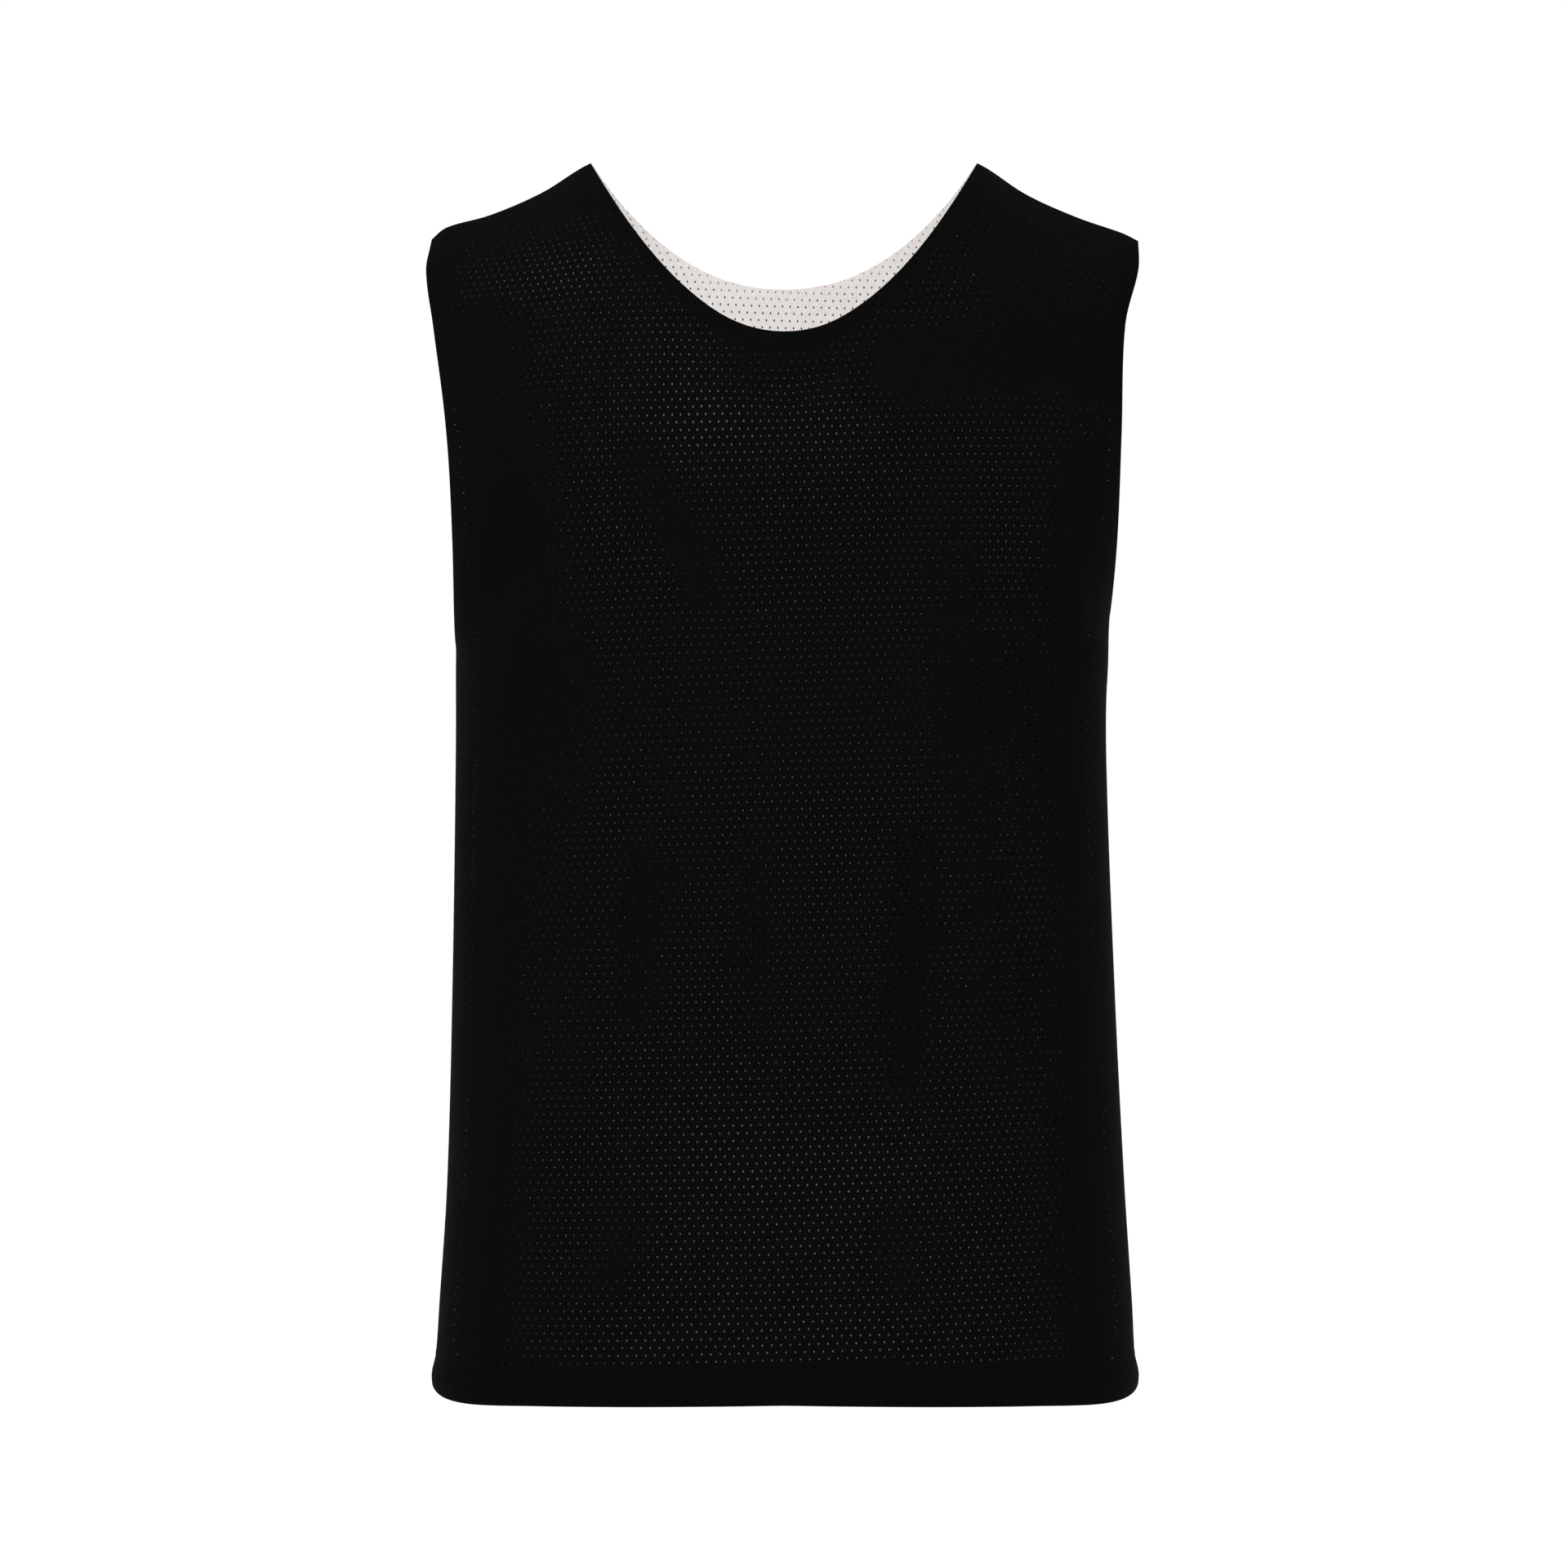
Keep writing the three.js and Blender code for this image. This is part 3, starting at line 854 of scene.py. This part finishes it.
def perforated(name, sheet, knit, cloth, tree):
    across = abs(sheet["flat"][..., 0]).max()
    along = abs(sheet["flat"][..., 1]).max()
    return made_by_nodes(name, flat_mesh(name, sheet), tree, {
        "Pitch": knit["pitch"] * MM,
        "Row": knit["row"] * MM,
        "Shift": knit["shift"],
        "Hole Width": knit["hole_width"] * MM,
        "Hole Height": knit["hole_height"] * MM,
        "Plain Rim": PLAIN_RIM * MM,
        "Pairs": 2 * math.ceil(across / (knit["pitch"] * MM) / 2 + 1),
        "Rows": 2 * math.ceil(along / (knit["row"] * MM) / 2 + 1),
        "Cloth": cloth,
    })


def on_the_cut(sheet, edge, reach):
    """Where the points of a turned edge lie on the cut, which goes on past the fold."""
    flat_lines = TURNED[edge](sheet["flat"])
    lines = TURNED[edge](sheet["cloth"])
    rows = []
    for line, flat in zip(lines, flat_lines):
        outward = flat[0] - flat[1]
        outward = outward / np.hypot(*outward)
        row = [flat[0] + outward * EDGE_ROLL * MM * angle for angle in ROLL_ANGLES]
        for distance in np.linspace(0, reach * MM, FLAT_STEPS)[1:]:
            k, share = along_line(line, distance)
            inside = flat[k] + (flat[k + 1] - flat[k]) * share
            row.append(2 * row[len(ROLL_ANGLES) - 1] - inside)
        rows.append(row)
    return np.array(rows)


def turned_edge_mesh(name, sheet, edge, reach, cloth):
    strip = turned_edge(sheet, edge, reach)
    columns, rows = strip.shape[:2]
    faces = quads_of(columns, rows)
    if faces_back(strip, TURNED[edge](sheet["normal"])):
        faces = faces[:, ::-1]
    mesh = mesh_from(name, strip, faces)
    cut = on_the_cut(sheet, edge, reach).reshape(-1, 2)
    layer = mesh.uv_layers.new(name="cut")
    layer.data.foreach_set("uv", cut[faces.ravel()].ravel())
    mesh.materials.append(cloth)
    mesh.polygons.foreach_set("use_smooth", np.ones(len(mesh.polygons), bool))
    return mesh


def faces_back(strip, normals):
    """Whether a strip's first faces look against the cloth's normal as they are numbered."""
    middle = len(strip) // 2
    along = strip[middle + 1, 0] - strip[middle, 0]
    over = strip[middle, 1] - strip[middle, 0]
    return np.cross(along, over) @ normals[middle, 0] < 0


def joined(name, meshes):
    """One piece from several meshes, which share a material and a UV map."""
    parts = [shown(name, mesh) for mesh in meshes]
    bpy.ops.object.select_all(action="DESELECT")
    for part in parts:
        part.select_set(True)
    bpy.context.view_layer.objects.active = parts[0]
    bpy.ops.object.join()
    return parts[0]


# ---- Stitches, made by nodes -----------------------------------------------------------------

def stitch_row_tree():
    """Lays a row of stitches along a line of edges, each lifted off the cloth in its middle."""
    size = "NodeSocketFloat"
    tree = new_tree("Row of stitches", {
        "Stitch Pitch": size,
        "Stitch Length": size,
        "Thread Thickness": size,
        "Thread": "NodeSocketMaterial",
    })
    make = Maker(tree)
    given = make.add("NodeGroupInput").outputs
    line = make.add("GeometryNodeMeshToCurve", {"Mesh": given["Geometry"]})
    spots = make.add("GeometryNodeCurveToPoints", {"Curve": line.outputs[0]}, mode="LENGTH")
    make.put(spots.inputs["Length"], given["Stitch Pitch"])

    half = make.times(given["Stitch Length"], 0.5)
    bend = make.times(given["Stitch Length"], 0.34)
    sunk = make.times(given["Thread Thickness"], -0.5)
    lifted = make.times(given["Thread Thickness"], 0.75)
    path = make.add("GeometryNodeCurvePrimitiveBezierSegment", {
        "Start": make.point(make.times(half, -1.0), 0.0, sunk),
        "Start Handle": make.point(make.times(bend, -1.0), 0.0, lifted),
        "End Handle": make.point(bend, 0.0, lifted),
        "End": make.point(half, 0.0, sunk),
        "Resolution": 6,
    })
    round_section = make.add("GeometryNodeCurvePrimitiveCircle", {"Resolution": 6})
    make.put(round_section.inputs["Radius"], make.times(given["Thread Thickness"], 0.5))
    stitch = make.add("GeometryNodeCurveToMesh", {
        "Curve": path.outputs[0],
        "Profile Curve": round_section.outputs[0],
        "Fill Caps": True,
    })

    out = make.add("GeometryNodeInputNamedAttribute", {"Name": "out"}, data_type="FLOAT_VECTOR")
    stood = make.add("FunctionNodeAlignRotationToVector", axis="Z")
    make.put(stood.inputs["Vector"], out.outputs["Attribute"])
    turned = make.add("FunctionNodeAlignRotationToVector", axis="X", pivot_axis="Z")
    make.put(turned.inputs["Rotation"], stood.outputs[0])
    make.put(turned.inputs["Vector"], spots.outputs["Tangent"])
    row = make.add("GeometryNodeInstanceOnPoints", {
        "Points": spots.outputs["Points"],
        "Instance": stitch.outputs[0],
        "Rotation": turned.outputs[0],
    })
    real = make.add("GeometryNodeRealizeInstances", {"Geometry": row.outputs[0]})
    smooth = make.add("GeometryNodeSetShadeSmooth", {"Geometry": real.outputs[0]})
    threaded = {"Geometry": smooth.outputs[0], "Material": given["Thread"]}
    finish = make.add("GeometryNodeSetMaterial", threaded)
    make.add("NodeGroupOutput", {"Geometry": finish.outputs[0]})
    return tree


def stitch_line(sheet, distance, lift):
    """The points of a row of stitches on the cloth's visible face and the way they stand out."""
    points, outs = [], []
    lines = TURNED["hem"](sheet["cloth"])
    normals = TURNED["hem"](sheet["normal"])
    for line, normal in zip(lines, normals):
        k, share = along_line(line, distance * MM)
        out = normal[k] * sheet["turns"]
        points.append(line[k] + (line[k + 1] - line[k]) * share + out * lift * MM)
        outs.append(out)
    return np.array(points), np.array(outs)


def hem_stitches(name, sheet, thread, tree):
    points, outs = stitch_line(sheet, HEM_STITCH_LINE, STITCH_LIFT)
    mesh = bpy.data.meshes.new(name)
    edges = [(k, k + 1) for k in range(len(points) - 1)]
    mesh.from_pydata(points.tolist(), edges, [])
    out = mesh.attributes.new("out", "FLOAT_VECTOR", "POINT")
    out.data.foreach_set("vector", outs.ravel())
    stitches = made_by_nodes(name, mesh, tree, {
        "Stitch Pitch": THREAD["pitch"] * MM,
        "Stitch Length": THREAD["stitch"] * MM,
        "Thread Thickness": THREAD["thickness"] * MM,
        "Thread": thread,
    })
    return shown(name, stitches)


# ---- Effects that the cloths share -----------------------------------------------------------

def new_effect(name, inputs, outputs):
    """A shader node group with named inputs, given with their usual values, and outputs."""
    group = bpy.data.node_groups.new(name, "ShaderNodeTree")
    for label, value in inputs.items():
        is_place = value is None
        kind = "NodeSocketVector" if is_place else "NodeSocketFloat"
        socket = group.interface.new_socket(label, in_out="INPUT", socket_type=kind)
        if not is_place:
            socket.default_value = value
    for label in outputs:
        group.interface.new_socket(label, in_out="OUTPUT", socket_type="NodeSocketFloat")
    make = Maker(group)
    return group, make, make.add("NodeGroupInput").outputs


def warp_knit_effect():
    """Columns of small V-shaped loops. Place is in metres on the cut."""
    group, make, given = new_effect(
        "Warp knit", {"Place": None, "Wale": 0.0009, "Course": 0.0006}, ["Relief", "Loops"]
    )
    place = make.add("ShaderNodeSeparateXYZ", {"Vector": given["Place"]}).outputs
    across = make.over(place["X"], given["Wale"])
    along = make.over(place["Y"], given["Course"])
    in_wale = make.sum("FRACT", across)
    slant = make.times(make.sum("ABSOLUTE", make.minus(in_wale, 0.5)), 1.3)
    turn = make.times(make.plus(along, slant), math.pi)
    loops = make.sum("ABSOLUTE", make.sum("SINE", turn))
    ridge = make.sum("SINE", make.times(in_wale, math.pi))
    relief = make.times(ridge, make.sum("MULTIPLY_ADD", loops, 0.5, 0.5))
    make.add("NodeGroupOutput", {"Relief": relief, "Loops": loops})
    return group


def hole_rims_effect():
    """How near a point is to the rim of a hole: 1 at the rim, 0 from a reach away."""
    usual = {
        "Place": None,
        "Pitch": 0.005,
        "Row": 0.004,
        "Hole Width": 0.0013,
        "Hole Height": 0.0019,
        "Reach": 0.5,
    }
    group, make, given = new_effect("Hole rims", usual, ["Rim"])
    cell = make.point(given["Pitch"], make.times(given["Row"], 2.0), 1.0)
    half_cell = make.vector("MULTIPLY", cell, (0.5, 0.5, 0.5))[0]
    low_half = make.vector("MULTIPLY", cell, (-0.5, -0.5, -0.5))[0]
    half_width = make.times(given["Hole Width"], 0.5)
    oval = make.point(half_width, make.times(given["Hole Height"], 0.5), 1.0)

    def from_centre(place):
        flat = make.vector("MULTIPLY", place, (1, 1, 0))[0]
        wrapped = make.vector("WRAP", flat, half_cell, low_half)[0]
        return make.vector("LENGTH", make.vector("DIVIDE", wrapped, oval)[0])["Value"]

    staggered = make.vector("ADD", given["Place"], half_cell)[0]
    away = make.sum("MINIMUM", from_centre(given["Place"]), from_centre(staggered))
    past_rim = make.over(make.minus(away, 1.0), given["Reach"])
    clamped = make.add("ShaderNodeClamp", {"Value": make.minus(1.0, past_rim)}).outputs[0]
    make.add("NodeGroupOutput", {"Rim": make.times(clamped, clamped)})
    return group


def handled_cloth_effect():
    """Slow unevenness of tone over the cloth and the small crumples that handling leaves."""
    group, make, given = new_effect("Handled cloth", {"Place": None, "Size": 0.06}, ["Tone", "Crumple"])
    scale = make.over(1.0, given["Size"])
    slow = make.add("ShaderNodeTexNoise", {"Vector": given["Place"], "Scale": scale, "Detail": 2.0})
    fine_scale = make.times(scale, 4.0)
    fine = make.add("ShaderNodeTexNoise", {
        "Vector": given["Place"],
        "Scale": fine_scale,
        "Detail": 3.0,
        "Roughness": 0.45,
    })
    make.add("NodeGroupOutput", {"Tone": slow.outputs["Fac"], "Crumple": fine.outputs["Fac"]})
    return group


# ---- Materials -------------------------------------------------------------------------------

def new_material(name, colour, roughness, specular, sheen):
    material = bpy.data.materials.new(name)
    material.use_nodes = True
    material.diffuse_color = (*colour, 1)
    make = Maker(material.node_tree)
    surface = material.node_tree.nodes["Principled BSDF"]
    surface.inputs["Base Color"].default_value = (*colour, 1)
    surface.inputs["Roughness"].default_value = roughness
    surface.inputs["Specular IOR Level"].default_value = specular
    surface.inputs["Sheen Weight"].default_value = sheen
    surface.inputs["Sheen Roughness"].default_value = 0.5
    return material, make, surface


def effect(make, group, **inputs):
    node = make.add("ShaderNodeGroup", node_tree=group)
    for label, value in inputs.items():
        make.put(node.inputs[label.replace("_", " ")], value)
    return node.outputs


def between(make, share, low, high):
    """A colour that runs from low to high. Each of them is a colour or a node's output."""
    blend = make.tree.nodes.new("ShaderNodeMix")
    blend.data_type = "RGBA"
    factor, first, second = (blend.inputs[k] for k in (0, 6, 7))
    make.put(factor, share)
    make.put(first, low if isinstance(low, bpy.types.NodeSocket) else (*low, 1))
    make.put(second, high if isinstance(high, bpy.types.NodeSocket) else (*high, 1))
    return blend.outputs[2]


# The cloth's fine relief in metres, and how its parts weigh in its tone and its height. The loops' relief
# weighs in the tone as painted shade, deepest where the loops lie low.
LOOP = dict(wale=0.00092, course=0.00064, relief=0.00012, in_painted_shade=0.75, smoother=-0.08)
CRUMPLE = dict(size=0.07, relief=0.0012)
RIM_HEIGHT = 1.2            # where the loops are 1 high


def mesh_cloth(name, knit, looks, effects):
    """Knitted cloth with holes: loops in columns with painted shade between them, a firmer rim round each
    hole with painted shade round it, soft crumples.
    """
    material, make, surface = new_material(
        name, looks["loops"], looks["roughness"], looks["specular"], looks["sheen"]
    )
    cut = make.add("ShaderNodeUVMap", uv_map="cut").outputs["UV"]
    place = make.add("ShaderNodeTexCoord").outputs["Object"]
    loops = effect(make, effects["knit"], Place=cut, Wale=LOOP["wale"], Course=LOOP["course"])
    rims = effect(
        make, effects["rims"], Place=cut, Pitch=knit["pitch"] * MM, Row=knit["row"] * MM,
        Hole_Width=knit["hole_width"] * MM, Hole_Height=knit["hole_height"] * MM,
        Reach=looks["rim_reach"],
    )
    handled = effect(make, effects["handled"], Place=place, Size=CRUMPLE["size"])
    # Painted shade between the loops: the colour runs down to the shade colour where the loops lie low,
    # mixed with slow uneven tone.
    uneven = make.times(handled["Tone"], 1 - LOOP["in_painted_shade"])
    shade = make.sum("MULTIPLY_ADD", loops["Relief"], LOOP["in_painted_shade"], uneven)
    cloth = between(make, shade, looks["painted_gap_shade"], looks["loops"])
    # Painted shade round each hole: the rim colour is laid over the cloth near the holes.
    painted_hole_shade = make.times(rims["Rim"], looks["rim_painted_shade"])
    make.put(surface.inputs["Base Color"], between(make, painted_hole_shade, cloth, looks["rim"]))
    rough = make.sum("MULTIPLY_ADD", loops["Loops"], LOOP["smoother"], looks["roughness"])
    make.put(surface.inputs["Roughness"], rough)
    height = make.plus(loops["Relief"], make.times(rims["Rim"], RIM_HEIGHT))
    fine = make.add("ShaderNodeBump", {
        "Strength": looks["loop_bump"],
        "Distance": LOOP["relief"],
        "Height": height,
    })
    soft = make.add("ShaderNodeBump", {
        "Strength": looks["crumple_bump"],
        "Distance": CRUMPLE["relief"],
        "Height": handled["Crumple"],
        "Normal": fine.outputs[0],
    })
    make.put(surface.inputs["Normal"], soft.outputs[0])
    return material


def thread_material(name, colour, specular):
    """Sewing thread: fine plies that wind round it, drawn by stripes over its place, with painted shade in
    the grooves between them.
    """
    material, make, surface = new_material(name, colour, 0.7, specular, 0)
    place = make.add("ShaderNodeTexCoord").outputs["Object"]
    plies = make.add("ShaderNodeTexWave", {"Vector": place, "Scale": 900.0, "Distortion": 1.0})
    plies.bands_direction = "DIAGONAL"
    # Painted shade: the colour falls to six tenths of itself in the grooves, where the bump lies low.
    painted_groove_shade = [channel * 0.6 for channel in colour]
    make.put(surface.inputs["Base Color"], between(make, plies.outputs["Fac"], painted_groove_shade, colour))
    bump = make.add("ShaderNodeBump", {"Strength": 0.4, "Distance": 0.00005, "Height": plies.outputs["Fac"]})
    make.put(surface.inputs["Normal"], bump.outputs[0])
    return material


# The colour given for the low parts between the loops is painted shade.
# The rim colour is painted shade round the holes: near black on the black cloth, dusky rose on the white.
BLACK_LOOKS = dict(
    loops=(0.0027, 0.0027, 0.0028), painted_gap_shade=(0.0015, 0.0015, 0.0015), roughness=0.86, specular=0.01,
    sheen=0.0, rim=(0.001, 0.001, 0.001), rim_painted_shade=0.9, rim_reach=0.8, loop_bump=0.7,
    crumple_bump=0.25,
)
WHITE_LOOKS = dict(
    loops=(0.93, 0.915, 0.90), painted_gap_shade=(0.78, 0.76, 0.74), roughness=0.85, specular=0.15,
    sheen=0.05, rim=(0.66, 0.38, 0.33), rim_painted_shade=1.0, rim_reach=1.0, loop_bump=0.5,
    crumple_bump=0.2,
)


# ---- Where it is shown -----------------------------------------------------------------------

def stand_camera():
    """A long lens, level with the middle of the jersey and square to its front."""
    lens = bpy.data.cameras.new("camera")
    lens.lens = CAMERA["lens"]
    lens.sensor_width = CAMERA["sensor"]
    lens.clip_end = 100
    camera = bpy.data.objects.new("camera", lens)
    camera.location = (0, -CAMERA["distance"], (CAMERA["height"] + LEVEL_LINE) * MM)
    camera.rotation_euler = (math.pi / 2, 0, 0)
    bpy.context.scene.collection.objects.link(camera)
    bpy.context.scene.camera = camera


def lay_floor():
    """A broad round pale floor well below the hem."""
    turns = np.linspace(0, 2 * math.pi, FLOOR["sides"], endpoint=False)
    radius = FLOOR["radius"]
    floor_height = cad_low[2] - FLOOR["below_hem"]
    rim = [(radius * math.cos(turn), radius * math.sin(turn), floor_height) for turn in turns]
    mesh = mesh_from("floor", rim, [list(range(len(rim)))])
    material, make, surface = new_material("pale_floor", (0.92, 0.92, 0.92), 0.9, 0.1, 0)
    surface.inputs["Emission Color"].default_value = (1, 1, 1, 1)
    surface.inputs["Emission Strength"].default_value = FLOOR["glow"]
    mesh.materials.append(material)
    shown("floor", mesh)


def light(name, place, aim, size, power):
    lamp = bpy.data.lights.new(name, "AREA")
    lamp.shape = "DISK"
    lamp.size = size
    lamp.energy = power
    fixture = bpy.data.objects.new(name, lamp)
    fixture.location = place
    fixture.rotation_euler = (Vector(aim) - Vector(place)).to_track_quat("-Z", "Y").to_euler()
    bpy.context.scene.collection.objects.link(fixture)


def light_studio():
    """Even white all round, with a broad key from the upper left and a weaker fill."""
    scene = bpy.context.scene
    scene.view_settings.view_transform = "Standard"
    scene.view_settings.look = "None"
    world = bpy.data.worlds.new("studio")
    world.use_nodes = True
    world.node_tree.nodes["Background"].inputs["Color"].default_value = (1, 1, 1, 1)
    world.node_tree.nodes["Background"].inputs["Strength"].default_value = 1.0
    scene.world = world
    for lamp in LAMPS:
        light(**lamp)


# ---- Making ----------------------------------------------------------------------------------

LAYERS = [
    dict(
        node="outer", colour="black", slot="black_mesh", knit=BLACK_KNIT, looks=BLACK_LOOKS,
        turned_in=dict(hem=HEM_TURN_UP, left=SEAM_ALLOWANCE, right=SEAM_ALLOWANCE, top=SEAM_ALLOWANCE),
    ),
    dict(
        node="inner", colour="white", slot="white_mesh", knit=WHITE_KNIT, looks=WHITE_LOOKS,
        turned_in=dict(
            hem=HEM_TURN_UP, left=SEAM_ALLOWANCE, right=SEAM_ALLOWANCE, top=INNER_TOP_ALLOWANCE
        ),
    ),
]


def cut_piece(panel, layer, sheet, cloth, tree):
    """One cut piece of cloth with its edges turned in, in place of its solid."""
    name = f"{panel['name']}_{layer['colour']}_cloth"
    meshes = [perforated(name, sheet, layer["knit"], cloth, tree)]
    for edge, reach in layer["turned_in"].items():
        meshes.append(turned_edge_mesh(name, sheet, edge, reach, cloth))
    piece = joined(name, meshes)
    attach(piece, "root")
    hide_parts(f"{layer['node']}_{panel['name']}")
    declare_sheet(sheet["flat"], layer["turned_in"])


def flat_area(flat):
    """The area that a grid covers on the cut, from the crossed diagonals of its cells."""
    first = flat[1:, 1:] - flat[:-1, :-1]
    second = flat[:-1, 1:] - flat[1:, :-1]
    return abs(first[..., 0] * second[..., 1] - first[..., 1] * second[..., 0]).sum() / 2


def declare_sheet(flat, turned_in):
    """Works out the area the piece was cut to, with its hem and seam allowances, and keeps it nowhere."""
    edges = dict(hem=flat[:, 0], left=flat[0], right=flat[-1], top=flat[:, -1])
    area = flat_area(flat)
    for edge, line in edges.items():
        area += np.linalg.norm(np.diff(line, axis=0), axis=-1).sum() * turned_in[edge] * MM


stand_camera()
light_studio()
lay_floor()

effects = dict(knit=warp_knit_effect(), rims=hole_rims_effect(), handled=handled_cloth_effect())
cloth_tree = perforated_cloth_tree()
stitch_tree = stitch_row_tree()
cloths = {
    layer["colour"]: mesh_cloth(f"{layer['colour']}_mesh_cloth", layer["knit"], layer["looks"], effects)
    for layer in LAYERS
}
threads = {
    "black": thread_material("black_thread", (0.003, 0.003, 0.003), 0.01),
    "white": thread_material("white_thread", (0.86, 0.85, 0.83), 0.15),
}

for panel in (FRONT, BACK):
    for layer in LAYERS:
        worn = worn_panel(dict(panel, neck_drop=panel["neck_drops"][layer["node"]]))
        flat = turned_to_grain(unstretched(laid_flat(worn["point"])), GRAIN_TILT)
        sheet = cloth_sheet(worn, flat, layer["node"])
        cut_piece(panel, layer, sheet, cloths[layer["colour"]], cloth_tree)
        row = hem_stitches(
            f"{panel['name']}_{layer['colour']}_hem_stitches", sheet, threads[layer["colour"]], stitch_tree
        )
        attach(row, "root")
